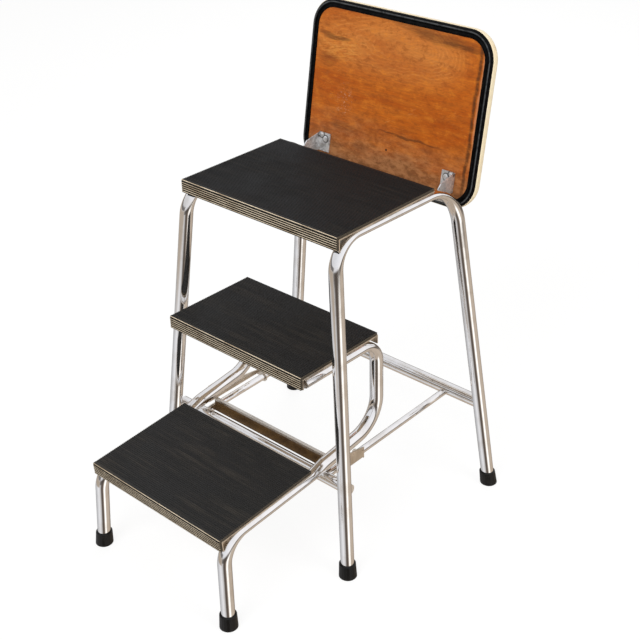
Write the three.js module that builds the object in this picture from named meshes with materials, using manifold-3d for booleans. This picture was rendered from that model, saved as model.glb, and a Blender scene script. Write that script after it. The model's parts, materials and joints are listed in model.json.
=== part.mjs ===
// Folding step stool chair: a chromed tube frame with a top tread, a two-step
// unit that slides back under it on two guide rods, and a padded seat that
// swings down over the top tread.
// Units are millimetres. +Z is up, the user climbs towards +Y, X is across.
// Y is counted from the front edge of the top tread, and the finished part is
// moved so that its box is centred on the origin.

import * as THREE from 'three';
import Module from 'manifold-3d';
import { mergeVertices } from 'three/addons/utils/BufferGeometryUtils.js';

const wasm = await Module();
wasm.setup();

// Shared sizes
const tubeRadius = 11;
const tubeWall = 1.3;
const tubeSides = 18;
const boreSides = 8;
const bendStep = THREE.MathUtils.degToRad(11);
const seatGap = 0.3;
// Where a tube carries a tread it is pressed flatter, to this share of its height
const railFlatShare = 0.62;
const stepFlatShare = 0.72;
const cutOverrun = 5;
const sheet = 2.2;
const roundSides = 24;

// Main frame: two inverted U tubes whose legs splay outwards
const topTreadHeight = 570;
const frontRailInset = 10;
const rearRailInset = 5.5;
const frontLegSplay = 56;
const rearLegSplay = 77;
const frontCornerY = 5.5;
const frontLegLean = 45.5;
const rearCornerSet = 55.5;
const rearLegLean = 26.5;
const frontBendRadius = 50;
const rearBendRadius = 66;

// Treads: folded sheet pans under ribbed rubber mats
const topTreadWidth = 331;
const topTreadDepth = 224;
const middleTreadDepth = 176;
const middleTreadHeight = 358;
const middleTreadFrontY = -64.5;
const lowerTreadDepth = 199;
const lowerTreadHeight = 166;
const lowerTreadFrontY = -248;
const lowerTreadTilt = THREE.MathUtils.degToRad(4.3);
const nosingDrop = 22;
const rearLipDrop = 15;
const matThickness = 3.6;
const matInset = 1.5;
const ribHeight = 0.7;
const ribPitch = 3.5;
const ribTopShare = 0.5;
const nosingRibs = 5;

// Step unit: two bent side tubes
const stepTubeInset = 13.5;
const middleTreadOverhang = 4.5;
const lowerTreadOverhang = 6.5;
const stepLegSplay = 8;
const stepFootY = -244.5;
const stepLegTopY = -236;
const stepBendRadius = 45;
const jogStartY = -44;
const jogEndY = -16;
const jogRise = 3.5;
const jogBendRadius = 60;
const rearRunSlope = THREE.MathUtils.degToRad(7.5);
const backTubeY = 113;
const lowerBackRadius = 58;
const upperBackRadius = 38;
const topRunFrontY = -54;

// Cross tubes, guide rods and guides
const frontCrossRadius = 9.5;
const frontCrossY = -12;
const frontCrossZ = 145.5;
const rearCrossZ = 159;
const rearCrossSet = 4;
const crossTubeInset = 3;
const rodRadius = 6;
const rodInset = 2;
const guideGap = 0.5;
const guidePlateThickness = 2;
const guidePivotY = 26;
const pivotPinRadius = 3;
const pivotHeadRadius = 4.6;
const pivotHeadThickness = 2.2;
const pivotPinReach = 7;
const pivotClearance = 0.4;
const eyeRadius = 9;
const eyeClearance = 0.4;
const rightEyeY = 65;
const leftEyeY = 131;
const plateFrontY = 12;
const plateRodRise = 2;
const plateTopRise = 2;
const plateHeadReach = 4;
const plateTailDrop = 7.4;
const plateTailSlope = 0.16;
const plateCorner = 4;
const pivotDrop = 4;

// Stretcher bar between the side tubes of the step unit
const barTopZ = 168;
const barDepth = 12;
const barHeight = 15;
const barRearY = 9;
const barLip = 3.5;

// Rubber feet and tube end caps
const footBaseRadius = 14.8;
const footTopRadius = 13.7;
const footHeight = 25;
const footFloor = 4;
const footEdge = 1.2;
const tubeEndLift = 6;
const footBoreGap = 0.35;
const capThickness = 1.6;
const capSpigot = 6;

// Seat that folds down over the top tread
const seatLean = THREE.MathUtils.degToRad(10);
const hingeSet = 16;
const hingeToBoard = 34.3;
const closedGap = 2;
const seatOverhang = 18.5;
const seatLength = 282;
const seatTail = 25.2;
const seatCorner = 46;
const boardThickness = 9;
const trimWidth = 12.5;
const trimThickness = 8;
const trimProud = 1;
const cushionRim = 13;
const cushionCrown = 34;
const cushionTuck = 3;
const bracketInset = 4;
const bracketWidth = 25;
const bracketSheet = 2;
const bracketLow = 1;
const bracketHigh = 33;
const gussetTip = 20;
const hingePinRadius = 4;
const hingePinClearance = 0.3;
const hingeBossRadius = 7;
const hingeHeadRadius = 7.5;
const hingeHeadThickness = 2.5;
const gussetNoseRadius = 8;
const rivetHeadRadius = 5.5;
const smallRivetRadius = 3.2;
const rivetHeadHeight = 1.6;
const rivetRow = 23;

// Heights and places that follow from the sizes above
const frontCornerX = topTreadWidth / 2 - frontRailInset;
const rearCornerX = topTreadWidth / 2 - rearRailInset;
const rearCornerY = topTreadDepth + rearCornerSet;
const frontFootX = frontCornerX + frontLegSplay;
const frontFootY = frontCornerY - frontLegLean;
const rearFootX = rearCornerX + rearLegSplay;
const rearFootY = rearCornerY + rearLegLean;
const stepTubeX = frontCornerX - stepTubeInset;
const stepFootX = stepTubeX + stepLegSplay;
const middleTreadWidth = 2 * (stepTubeX + middleTreadOverhang);
const lowerTreadWidth = 2 * (stepTubeX + lowerTreadOverhang);
const rodX = stepTubeX - rodInset;
const hingeY = rearCornerY - hingeSet;
const seatWidth = topTreadWidth + 2 * seatOverhang;
const bracketX = rearCornerX - tubeRadius - bracketInset;
const railZ = topTreadHeight - matThickness - sheet - tubeRadius * railFlatShare - seatGap;
const runDrop = matThickness + sheet + tubeRadius * stepFlatShare + seatGap;
const topRunZ = middleTreadHeight - runDrop;
const runSlope = Math.tan(lowerTreadTilt);
const runStartZ = lowerTreadHeight + (stepLegTopY - lowerTreadFrontY) * runSlope
  - runDrop / Math.cos(lowerTreadTilt);
const jogStartZ = runStartZ + (jogStartY - stepLegTopY) * runSlope;
const jogEndZ = jogStartZ + (jogEndY - jogStartY) * runSlope + jogRise;
const runEndZ = jogEndZ + (backTubeY - jogEndY) * Math.tan(rearRunSlope);
const pivotZ = jogEndZ + (guidePivotY - jogEndY) * Math.tan(rearRunSlope) - pivotDrop;
const hingeZ = topTreadHeight + closedGap - hingeToBoard;
const rearCrossY = rearFootY + (rearCornerY - rearFootY) * (rearCrossZ / railZ) + rearCrossSet;

// Materials, one for each mesh
function paint(color, metalness, roughness) {
  return new THREE.MeshStandardMaterial({ color, metalness, roughness });
}
const chrome = () => paint(0xd8d8dc, 1, 0.15);
const nickel = () => paint(0xc8bfae, 1, 0.35);
const zinc = () => paint(0xb9bcc0, 1, 0.45);
const rubber = () => paint(0x1c1c1c, 0, 0.7);
const brownPaint = () => paint(0x5a3f1e, 0.2, 0.6);
const varnishedWood = () => paint(0xb8682a, 0, 0.45);
const creamVinyl = () => paint(0xe8d3a2, 0, 0.6);
const blackTrim = () => paint(0x141414, 0, 0.5);

// Node helpers
const stool = new THREE.Group();
stool.name = 'folding_step_stool_chair';

function addNode(parent, name, geometry, material) {
  const mesh = new THREE.Mesh(geometry, material);
  mesh.name = name;
  parent.add(mesh);
  return mesh;
}

function at(x, y, z) {
  return new THREE.Vector3(x, y, z);
}

// Boolean helpers
function toSolid(geometry) {
  const bare = geometry.clone();
  bare.deleteAttribute('normal');
  bare.deleteAttribute('uv');
  const merged = mergeVertices(bare);
  const vertProperties = new Float32Array(merged.attributes.position.array);
  const triVerts = new Uint32Array(merged.index.array);
  return new wasm.Manifold(new wasm.Mesh({ numProp: 3, vertProperties, triVerts }));
}

function toGeometry(solid) {
  const mesh = solid.getMesh();
  const geometry = new THREE.BufferGeometry();
  geometry.setAttribute('position', new THREE.BufferAttribute(new Float32Array(mesh.vertProperties), 3));
  geometry.setIndex(new THREE.BufferAttribute(new Uint32Array(mesh.triVerts), 1));
  geometry.computeVertexNormals();
  return geometry;
}

function union(geometries) {
  return geometries.map(toSolid).reduce((whole, piece) => whole.add(piece));
}

// A path with rounded corners, as points
function roundedPath(corners, radii) {
  const points = [corners[0].clone()];
  for (let i = 1; i < corners.length - 1; i += 1) {
    const corner = corners[i];
    const back = corners[i - 1].clone().sub(corner).normalize();
    const ahead = corners[i + 1].clone().sub(corner).normalize();
    const opening = back.angleTo(ahead);
    const turn = Math.PI - opening;
    const reach = radii[i - 1] / Math.tan(opening / 2);
    const start = corner.clone().addScaledVector(back, reach);
    const bisector = back.clone().add(ahead).normalize();
    const centre = corner.clone().addScaledVector(bisector, radii[i - 1] / Math.sin(opening / 2));
    const axis = ahead.clone().cross(back).normalize();
    const arm = start.clone().sub(centre);
    const steps = Math.max(1, Math.round(turn / bendStep));
    for (let step = 0; step <= steps; step += 1) {
      const turned = arm.clone().applyAxisAngle(axis, (turn * step) / steps);
      points.push(centre.clone().add(turned));
    }
  }
  points.push(corners[corners.length - 1].clone());
  return points;
}

// Rings of points swept along a path, each ring square to the path; the squash
// gives the height of the ring at a point as a share of its width
const round = () => 1;

function sweepRings(path, radius, sides, squash) {
  const rings = [];
  let normal = null;
  path.forEach((point, i) => {
    const before = path[Math.max(i - 1, 0)];
    const after = path[Math.min(i + 1, path.length - 1)];
    const tangent = after.clone().sub(before).normalize();
    if (i > 0 && i < path.length - 1) {
      const inward = point.clone().sub(before).normalize();
      const outward = after.clone().sub(point).normalize();
      tangent.copy(inward.add(outward).normalize());
    }
    if (normal === null) {
      const alongX = Math.abs(tangent.x) > Math.abs(tangent.y) + Math.abs(tangent.z);
      normal = alongX ? at(0, 1, 0) : at(1, 0, 0);
    }
    normal = normal.clone().addScaledVector(tangent, -normal.dot(tangent)).normalize();
    const side = tangent.clone().cross(normal).multiplyScalar(squash(point));
    const ring = [];
    for (let k = 0; k < sides; k += 1) {
      const angle = (2 * Math.PI * k) / sides;
      ring.push(point.clone()
        .addScaledVector(normal, radius * Math.cos(angle))
        .addScaledVector(side, radius * Math.sin(angle)));
    }
    rings.push(ring);
  });
  return rings;
}

function circlePoints(radius, sides) {
  const points = [];
  for (let k = 0; k < sides; k += 1) {
    const angle = (2 * Math.PI * k) / sides;
    points.push(new THREE.Vector2(radius * Math.cos(angle), radius * Math.sin(angle)));
  }
  return points;
}

// A tube or a rod along a path; a bore radius of zero gives a solid rod
function sweptTube(path, radius, bore, sides = tubeSides, squash = round) {
  const outer = sweepRings(path, radius, sides, squash);
  const inner = bore > 0 ? sweepRings(path, bore, boreSides, squash) : [];
  const positions = [];
  const index = [];
  const innerStart = outer.length * sides;
  outer.concat(inner).forEach((ring) => ring.forEach((p) => positions.push(p.x, p.y, p.z)));
  const skin = (rings, count, start, inwards) => {
    for (let i = 0; i < rings.length - 1; i += 1) {
      for (let k = 0; k < count; k += 1) {
        const a = start + i * count + k;
        const b = start + i * count + ((k + 1) % count);
        const c = a + count;
        const d = b + count;
        if (inwards) {
          index.push(a, c, b, b, c, d);
        } else {
          index.push(a, b, c, b, d, c);
        }
      }
    }
  };
  skin(outer, sides, 0, false);
  skin(inner, boreSides, innerStart, true);
  const holes = bore > 0 ? [circlePoints(bore, boreSides)] : [];
  const faces = THREE.ShapeUtils.triangulateShape(circlePoints(radius, sides), holes);
  const last = outer.length - 1;
  const pick = (id, ring) => (id < sides ? ring * sides + id : innerStart + ring * boreSides + id - sides);
  faces.forEach(([a, b, c]) => {
    index.push(pick(a, 0), pick(c, 0), pick(b, 0));
    index.push(pick(a, last), pick(b, last), pick(c, last));
  });
  const geometry = new THREE.BufferGeometry();
  geometry.setAttribute('position', new THREE.Float32BufferAttribute(positions, 3));
  geometry.setIndex(index);
  geometry.computeVertexNormals();
  return geometry;
}

// A cylinder between two places
function cylinderBetween(from, to, radius, sides = roundSides) {
  return sweptTube([from, to], radius, 0, sides);
}

// An outline in the Y-Z plane, given as [y, z] pairs, drawn out along X
function slabAcross(outline, holes, fromX, toX) {
  const shape = new THREE.Shape(outline.map(([y, z]) => new THREE.Vector2(y, z)));
  holes.forEach(([y, z, radius]) => {
    const hole = new THREE.Path();
    hole.absarc(y, z, radius, 0, 2 * Math.PI, true);
    shape.holes.push(hole);
  });
  const geometry = new THREE.ExtrudeGeometry(shape, {
    depth: toX - fromX, bevelEnabled: false, curveSegments: roundSides / 2,
  });
  geometry.applyMatrix4(new THREE.Matrix4().makeBasis(at(0, 1, 0), at(0, 0, 1), at(1, 0, 0)));
  geometry.translate(fromX, 0, 0);
  return geometry;
}

function boxBetween(low, high) {
  const size = high.clone().sub(low);
  const geometry = new THREE.BoxGeometry(size.x, size.y, size.z);
  const centre = low.clone().add(high).multiplyScalar(0.5);
  geometry.translate(centre.x, centre.y, centre.z);
  return geometry;
}

// How far a value has gone from one level to another, eased at both ends
function easedShare(value, from, to) {
  return THREE.MathUtils.smoothstep((value - from) / (to - from), 0, 1);
}

// Side frames
function railSquash(point) {
  return 1 - (1 - railFlatShare) * easedShare(point.z, railZ - frontBendRadius, railZ);
}

function sideFramePath(side) {
  const frontFoot = at(side * frontFootX, frontFootY, 0);
  const rearFoot = at(side * rearFootX, rearFootY, 0);
  const frontCorner = at(side * frontCornerX, frontCornerY, railZ);
  const rearCorner = at(side * rearCornerX, rearCornerY, railZ);
  const frontEnd = frontFoot.lerp(frontCorner, tubeEndLift / railZ);
  const rearEnd = rearFoot.lerp(rearCorner, tubeEndLift / railZ);
  return roundedPath([frontEnd, frontCorner, rearCorner, rearEnd], [frontBendRadius, rearBendRadius]);
}

function addSideFrame(side, label) {
  const geometry = sweptTube(sideFramePath(side), tubeRadius, tubeRadius - tubeWall, tubeSides, railSquash);
  addNode(stool, `side_frame_${label}`, geometry, chrome());
}

function sideFrameCutter(side) {
  return toSolid(sweptTube(sideFramePath(side), tubeRadius + seatGap, 0, tubeSides, railSquash));
}

// Cross tubes between the legs, shaped at the ends to the legs
function legPoint(footX, footY, cornerX, cornerY, z) {
  const share = z / railZ;
  return at(footX + (cornerX - footX) * share, footY + (cornerY - footY) * share, z);
}

function addCrossTube(name, y, z, reach, radius) {
  const ends = [at(-reach, y, z), at(reach, y, z)];
  let solid = toSolid(sweptTube(ends, radius, radius - tubeWall));
  [1, -1].forEach((side) => {
    solid = solid.subtract(sideFrameCutter(side));
  });
  const pieces = solid.decompose();
  pieces.sort((a, b) => b.volume() - a.volume());
  addNode(stool, name, toGeometry(pieces[0]), chrome());
}

// Guide rods from the front cross tube to the rear cross tube
const rodFront = at(0, frontCrossY, frontCrossZ);
const rodRear = at(0, rearCrossY, rearCrossZ - tubeRadius / 2);
const rodDirection = rodRear.clone().sub(rodFront).normalize();

function rodPoint(side, y) {
  const share = (y - rodFront.y) / (rodRear.y - rodFront.y);
  return at(side * rodX, y, rodFront.z + (rodRear.z - rodFront.z) * share);
}

function crossTubeCutter(y, z, radius) {
  const reach = rodX + rodRadius + cutOverrun;
  return toSolid(cylinderBetween(at(-reach, y, z), at(reach, y, z), radius + seatGap));
}

function addGuideRod(side, label) {
  let solid = toSolid(cylinderBetween(rodPoint(side, frontCrossY), rodPoint(side, rearCrossY), rodRadius));
  solid = solid.subtract(crossTubeCutter(frontCrossY, frontCrossZ, frontCrossRadius));
  solid = solid.subtract(crossTubeCutter(rearCrossY, rearCrossZ, tubeRadius));
  const pieces = solid.decompose();
  pieces.sort((a, b) => b.volume() - a.volume());
  addNode(stool, `guide_rod_${label}`, toGeometry(pieces[0]), chrome());
}

// Rubber feet: tapered cups that lean with their leg and stand flat
function footGeometry(footX, footY, topX, topY, topZ) {
  const bore = tubeRadius + footBoreGap;
  const profile = [
    [0, 0],
    [footBaseRadius - footEdge, 0],
    [footBaseRadius, footEdge],
    [footTopRadius, footHeight - footEdge],
    [footTopRadius - footEdge, footHeight],
    [bore, footHeight],
    [bore, footFloor],
    [0, footFloor],
  ].map(([r, z]) => new THREE.Vector2(r, z));
  const geometry = new THREE.LatheGeometry(profile, tubeSides + 2);
  geometry.rotateX(Math.PI / 2);
  const lean = new THREE.Matrix4().set(
    1, 0, (topX - footX) / topZ, footX,
    0, 1, (topY - footY) / topZ, footY,
    0, 0, 1, 0,
    0, 0, 0, 1,
  );
  geometry.applyMatrix4(lean);
  return geometry;
}

function addFoot(name, foot, top) {
  const geometry = footGeometry(foot.x, foot.y, top.x, top.y, top.z);
  addNode(stool, name, geometry, rubber());
}

// Treads: outlines run from the front edge (y = 0) with the walking surface at z = 0
function panOutline(depth) {
  const top = -matThickness;
  const lipFront = matThickness;
  return [
    [lipFront, -nosingDrop],
    [lipFront + sheet, -nosingDrop],
    [lipFront + sheet, top - sheet],
    [depth, top - sheet],
    [depth, top],
    [lipFront, top],
  ];
}

function panGeometry(width, depth, lipHalf) {
  const top = -matThickness;
  const pan = slabAcross(panOutline(depth), [], -width / 2, width / 2);
  const lip = boxBetween(at(-lipHalf, depth - sheet, top - rearLipDrop), at(lipHalf, depth, top - sheet / 2));
  return toGeometry(union([pan, lip]));
}

function matOutline(depth) {
  const floor = -matThickness + seatGap;
  const face = matThickness - seatGap;
  const outline = [[depth, floor], [face, floor], [face, -nosingDrop], [ribHeight, -nosingDrop]];
  const nosePitch = (nosingDrop - matThickness) / nosingRibs;
  for (let k = 0; k < nosingRibs; k += 1) {
    const low = -nosingDrop + k * nosePitch;
    const high = low + nosePitch * ribTopShare;
    outline.push([0, low + nosePitch - (high - low)], [0, low + nosePitch - ribHeight / 2]);
    outline.push([ribHeight, low + nosePitch]);
    if (k < nosingRibs - 1) {
      outline.push([ribHeight, low + nosePitch + nosePitch * (1 - ribTopShare) - ribHeight / 2]);
    }
  }
  outline.push([ribHeight, 0 - ribHeight * 2], [ribHeight * 2, 0]);
  const usable = depth - matThickness * 2;
  const count = Math.floor(usable / ribPitch);
  const start = (depth - count * ribPitch) / 2 + matThickness / 2;
  for (let k = 0; k < count; k += 1) {
    const from = start + k * ribPitch;
    const groove = ribPitch * (1 - ribTopShare);
    outline.push([from, 0], [from + ribHeight / 2, -ribHeight]);
    outline.push([from + groove - ribHeight / 2, -ribHeight], [from + groove, 0]);
  }
  outline.push([depth, 0]);
  return outline;
}

function addTread(label, width, depth, height, frontY, tilt, lipHalf) {
  const group = new THREE.Group();
  group.position.set(0, frontY, height);
  group.rotation.x = tilt;
  stool.add(group);
  const matHalf = width / 2 - matInset;
  addNode(group, `tread_pan_${label}`, panGeometry(width, depth, lipHalf), nickel());
  addNode(group, `tread_mat_${label}`, slabAcross(matOutline(depth), [], -matHalf, matHalf), rubber());
}

// Side tubes of the step unit: foot, run under the lower tread, back and top run
function stepSquash(point) {
  const upper = easedShare(point.z, topRunZ - upperBackRadius, topRunZ);
  const lowerStart = easedShare(point.y, stepLegTopY, stepLegTopY + stepBendRadius);
  const lowerEnd = easedShare(point.y, jogEndY, jogStartY);
  const lower = point.z < pivotZ ? lowerStart * lowerEnd : 0;
  return 1 - (1 - stepFlatShare) * Math.max(upper, lower);
}

function stepTubePath(side) {
  const x = side * stepTubeX;
  const foot = at(side * stepFootX, stepFootY, 0);
  const legTop = at(x, stepLegTopY, runStartZ);
  const corners = [
    foot.lerp(legTop, tubeEndLift / runStartZ),
    legTop,
    at(x, jogStartY, jogStartZ),
    at(x, jogEndY, jogEndZ),
    at(x, backTubeY, runEndZ),
    at(x, backTubeY, topRunZ),
    at(x, topRunFrontY, topRunZ),
  ];
  const radii = [stepBendRadius, jogBendRadius, jogBendRadius, lowerBackRadius, upperBackRadius];
  return roundedPath(corners, radii);
}


function addStepTube(side, label) {
  const path = stepTubePath(side);
  const tube = toSolid(sweptTube(path, tubeRadius, tubeRadius - tubeWall, tubeSides, stepSquash));
  const from = at(side * stepTubeX, guidePivotY, pivotZ);
  const to = at(side * (stepTubeX + tubeRadius + cutOverrun), guidePivotY, pivotZ);
  const hole = toSolid(cylinderBetween(from, to, pivotPinRadius + pivotClearance));
  addNode(stool, `step_side_tube_${label}`, toGeometry(tube.subtract(hole)), chrome());
}

function addTubeEndCap(side, label) {
  const x = side * stepTubeX;
  const end = topRunFrontY - seatGap;
  const flat = () => stepFlatShare;
  const discEnds = [at(x, end - capThickness, topRunZ), at(x, end, topRunZ)];
  const disc = sweptTube(discEnds, tubeRadius, 0, roundSides, flat);
  const bore = (tubeRadius - tubeWall) * Math.cos(Math.PI / boreSides) - seatGap / stepFlatShare;
  const spigotEnds = [at(x, end - capThickness / 2, topRunZ), at(x, end + capSpigot, topRunZ)];
  const spigot = sweptTube(spigotEnds, bore, 0, roundSides, flat);
  addNode(stool, `tube_end_cap_${label}`, toGeometry(union([disc, spigot])), chrome());
}

// Stretcher bar of the step unit, trimmed to the side tubes
function addStretcherBar() {
  const bottom = barTopZ - barHeight;
  const front = barRearY - barDepth;
  const outline = [
    [front, bottom],
    [barRearY, bottom],
    [barRearY, barTopZ - sheet],
    [barRearY + barLip, barTopZ - sheet],
    [barRearY + barLip, barTopZ],
    [barRearY - sheet, barTopZ],
    [barRearY - sheet, bottom + sheet],
    [front, bottom + sheet],
  ];
  const half = rodX - rodRadius - guideGap;
  let solid = toSolid(slabAcross(outline, [], -half, half));
  [1, -1].forEach((side) => {
    const path = stepTubePath(side);
    solid = solid.subtract(toSolid(sweptTube(path, tubeRadius + seatGap, 0, tubeSides, stepSquash)));
  });
  addNode(stool, 'stretcher_bar', toGeometry(solid), brownPaint());
}

// Guide plates: pivoted on the side tubes, each with an eye round its rod
function addGuidePlate(side, label, eyeY) {
  const inner = stepTubeX + tubeRadius + guideGap;
  const outer = inner + guidePlateThickness;
  const eye = rodPoint(side, eyeY);
  const top = pivotZ + pivotDrop + plateTopRise;
  const rear = eyeY + guidePlateThickness / 2;
  const headEnd = guidePivotY + plateHeadReach;
  const tailStart = headEnd + plateCorner;
  const tailTop = top - plateTailDrop;
  const lowEdge = (y) => rodPoint(side, y).z + plateRodRise;
  const outline = [
    [plateFrontY, lowEdge(plateFrontY)],
    [rear - plateCorner, lowEdge(rear - plateCorner)],
    [rear, lowEdge(rear) + plateCorner],
    [rear, tailTop - (rear - tailStart) * plateTailSlope],
    [tailStart, tailTop],
    [headEnd, top],
    [plateFrontY + guidePlateThickness, top],
    [plateFrontY, top - guidePlateThickness],
  ];
  const fromX = side > 0 ? inner : -outer;
  const plate = slabAcross(outline, [], fromX, fromX + guidePlateThickness);
  const half = guidePlateThickness / 2;
  const disc = cylinderBetween(at(eye.x, eyeY - half, eye.z), at(eye.x, eyeY + half, eye.z), eyeRadius);
  const webLow = at(Math.min(eye.x, side * outer), eyeY - half, eye.z);
  const webHigh = at(Math.max(eye.x, side * outer), eyeY + half, eye.z + eyeRadius);
  const pinInner = at(side * (inner - pivotPinReach), guidePivotY, pivotZ);
  const pinOuter = at(side * outer, guidePivotY, pivotZ);
  const headOuter = at(side * (outer + pivotHeadThickness), guidePivotY, pivotZ);
  const headInner = at(side * (outer - half), guidePivotY, pivotZ);
  const whole = union([
    plate,
    disc,
    boxBetween(webLow, webHigh),
    cylinderBetween(pinInner, pinOuter, pivotPinRadius),
    cylinderBetween(headInner, headOuter, pivotHeadRadius),
  ]);
  const bore = cylinderBetween(
    rodPoint(side, eyeY - cutOverrun),
    rodPoint(side, eyeY + cutOverrun),
    rodRadius + eyeClearance,
  );
  addNode(stool, `guide_plate_${label}`, toGeometry(whole.subtract(toSolid(bore))), nickel());
}

// Seat: everything is placed from the hinge axis, with z up the board and y behind it
const seat = new THREE.Group();
seat.position.set(0, hingeY, hingeZ);
seat.rotation.x = -seatLean;
stool.add(seat);

function roundedRectangle(width, low, high, corner) {
  const half = width / 2;
  const shape = new THREE.Shape();
  shape.absarc(half - corner, high - corner, corner, 0, Math.PI / 2, false);
  shape.absarc(-half + corner, high - corner, corner, Math.PI / 2, Math.PI, false);
  shape.absarc(-half + corner, low + corner, corner, Math.PI, (3 * Math.PI) / 2, false);
  shape.absarc(half - corner, low + corner, corner, (3 * Math.PI) / 2, 2 * Math.PI, false);
  return shape;
}

const cornerSteps = 6;
const seatLow = -seatTail;
const seatHigh = seatLength - seatTail;

// A flat outline of the seat's plane drawn out backwards from a given depth
function seatSlab(shape, from, thickness) {
  const geometry = new THREE.ExtrudeGeometry(shape, {
    depth: thickness, bevelEnabled: false, curveSegments: cornerSteps,
  });
  geometry.applyMatrix4(new THREE.Matrix4().makeBasis(at(-1, 0, 0), at(0, 0, 1), at(0, 1, 0)));
  geometry.translate(0, from, 0);
  return geometry;
}

function seatOutlinePoints(inset) {
  const shape = roundedRectangle(seatWidth - 2 * inset, seatLow + inset, seatHigh - inset, seatCorner - inset);
  return shape.getPoints(cornerSteps).slice(0, -1);
}

// Rings of the seat outline joined to a closed skin: each ring is [inset, depth]
function seatRings(rings, closed) {
  const loops = rings.map(([inset, y]) => seatOutlinePoints(inset).map((p) => at(p.x, y, p.y)));
  const count = loops[0].length;
  const positions = [];
  const index = [];
  loops.forEach((loop) => loop.forEach((p) => positions.push(p.x, p.y, p.z)));
  const spans = closed ? loops.length : loops.length - 1;
  for (let i = 0; i < spans; i += 1) {
    for (let k = 0; k < count; k += 1) {
      const a = i * count + k;
      const b = i * count + ((k + 1) % count);
      const c = ((i + 1) % loops.length) * count + k;
      const d = ((i + 1) % loops.length) * count + ((k + 1) % count);
      index.push(a, c, b, b, c, d);
    }
  }
  if (!closed) {
    const flat = (loop) => loop.map((p) => new THREE.Vector2(p.x, p.z));
    const first = THREE.ShapeUtils.triangulateShape(flat(loops[0]), []);
    first.forEach(([a, b, c]) => index.push(a, b, c));
    const last = (loops.length - 1) * count;
    const end = THREE.ShapeUtils.triangulateShape(flat(loops[loops.length - 1]), []);
    end.forEach(([a, b, c]) => index.push(last + a, last + c, last + b));
  }
  const geometry = new THREE.BufferGeometry();
  geometry.setAttribute('position', new THREE.Float32BufferAttribute(positions, 3));
  geometry.setIndex(index);
  geometry.computeVertexNormals();
  return geometry;
}

function addSeatBoard() {
  const inset = trimWidth + seatGap;
  const shape = roundedRectangle(seatWidth - 2 * inset, seatLow + inset, seatHigh - inset, seatCorner - inset);
  addNode(seat, 'seat_board', seatSlab(shape, hingeToBoard, boardThickness), varnishedWood());
}

// Rounded edge strip round the board: its section, as shares of width and thickness
const trimSectionShares = [
  [0.08, 1], [1, 1], [1, 0.4], [0.88, 0.1], [0.62, 0], [0.3, 0.02], [0.08, 0.2], [0.02, 0.5],
];

function addSeatTrim() {
  const front = hingeToBoard - trimProud;
  const back = hingeToBoard + boardThickness;
  const rings = trimSectionShares.map(([across, deep]) => [
    trimWidth * across,
    front + (Math.min(trimThickness + trimProud, back - front)) * deep,
  ]);
  addNode(seat, 'seat_trim', seatRings(rings, true), blackTrim());
}

// Cushion: flat back on the board, a drawn-in side and a crowned face
const cushionSectionShares = [
  [0, 0], [-0.6, 0.35], [-0.5, 0.75], [0.4, 1],
];
const crownInsetShares = [0.12, 0.26, 0.42, 0.6, 0.8];
const crownRiseShares = [0.3, 0.55, 0.76, 0.91, 0.985];

function addCushion() {
  const back = hingeToBoard + boardThickness + seatGap;
  const rings = cushionSectionShares.map(([across, deep]) => [
    cushionTuck * across + cushionTuck, back + cushionRim * deep,
  ]);
  const reach = seatCorner - cushionTuck * 2;
  crownInsetShares.forEach((share, i) => {
    const rise = (cushionCrown - cushionRim) * crownRiseShares[i];
    rings.push([cushionTuck * 2 + reach * share, back + cushionRim + rise]);
  });
  addNode(seat, 'seat_cushion', seatRings(rings, false), creamVinyl());
}

// Hinge brackets on the board: a screwed leg and a gusset that carries the pin
const gussetOutline = [
  [hingeToBoard - seatGap, bracketHigh],
  [0, gussetTip],
  [-gussetNoseRadius * 0.75, gussetNoseRadius * 1.5],
  [-gussetNoseRadius, 0],
  [-gussetNoseRadius * 0.7, -gussetNoseRadius * 0.7],
  [0, -gussetNoseRadius],
  [gussetNoseRadius, -gussetNoseRadius * 0.6],
  [hingeToBoard - seatGap, bracketLow],
];

function addSeatBracket(side, label) {
  const outer = side * bracketX;
  const inner = side * (bracketX - bracketSheet);
  const hole = [[0, 0, hingePinRadius + hingePinClearance]];
  const gusset = slabAcross(gussetOutline, hole, Math.min(outer, inner), Math.max(outer, inner));
  const far = side * (bracketX - bracketWidth);
  const legLow = at(Math.min(outer, far), hingeToBoard - seatGap - bracketSheet, bracketLow);
  const legHigh = at(Math.max(outer, far), hingeToBoard - seatGap, bracketHigh);
  const solid = union([gusset, boxBetween(legLow, legHigh)]);
  addNode(seat, `seat_bracket_${label}`, toGeometry(solid), zinc());
}

function rivetGeometry(x, z, radius) {
  const face = hingeToBoard - seatGap * 2 - bracketSheet;
  const profile = [
    [0, 0], [radius, 0], [radius * 0.85, rivetHeadHeight * 0.6], [radius * 0.5, rivetHeadHeight], [0, rivetHeadHeight],
  ].map(([r, h]) => new THREE.Vector2(r, h));
  const geometry = new THREE.LatheGeometry(profile, tubeSides);
  geometry.rotateX(Math.PI);
  geometry.translate(x, face, z);
  return geometry;
}

function addBracketRivets(side, label) {
  const middle = bracketX - bracketWidth / 2;
  const offset = bracketWidth / 4;
  const large = rivetGeometry(side * (middle - offset / 2), rivetRow, rivetHeadRadius);
  const small = rivetGeometry(side * (middle + offset), rivetRow + offset, smallRivetRadius);
  addNode(seat, `bracket_rivet_inner_${label}`, large, zinc());
  addNode(seat, `bracket_rivet_outer_${label}`, small, zinc());
}

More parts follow.
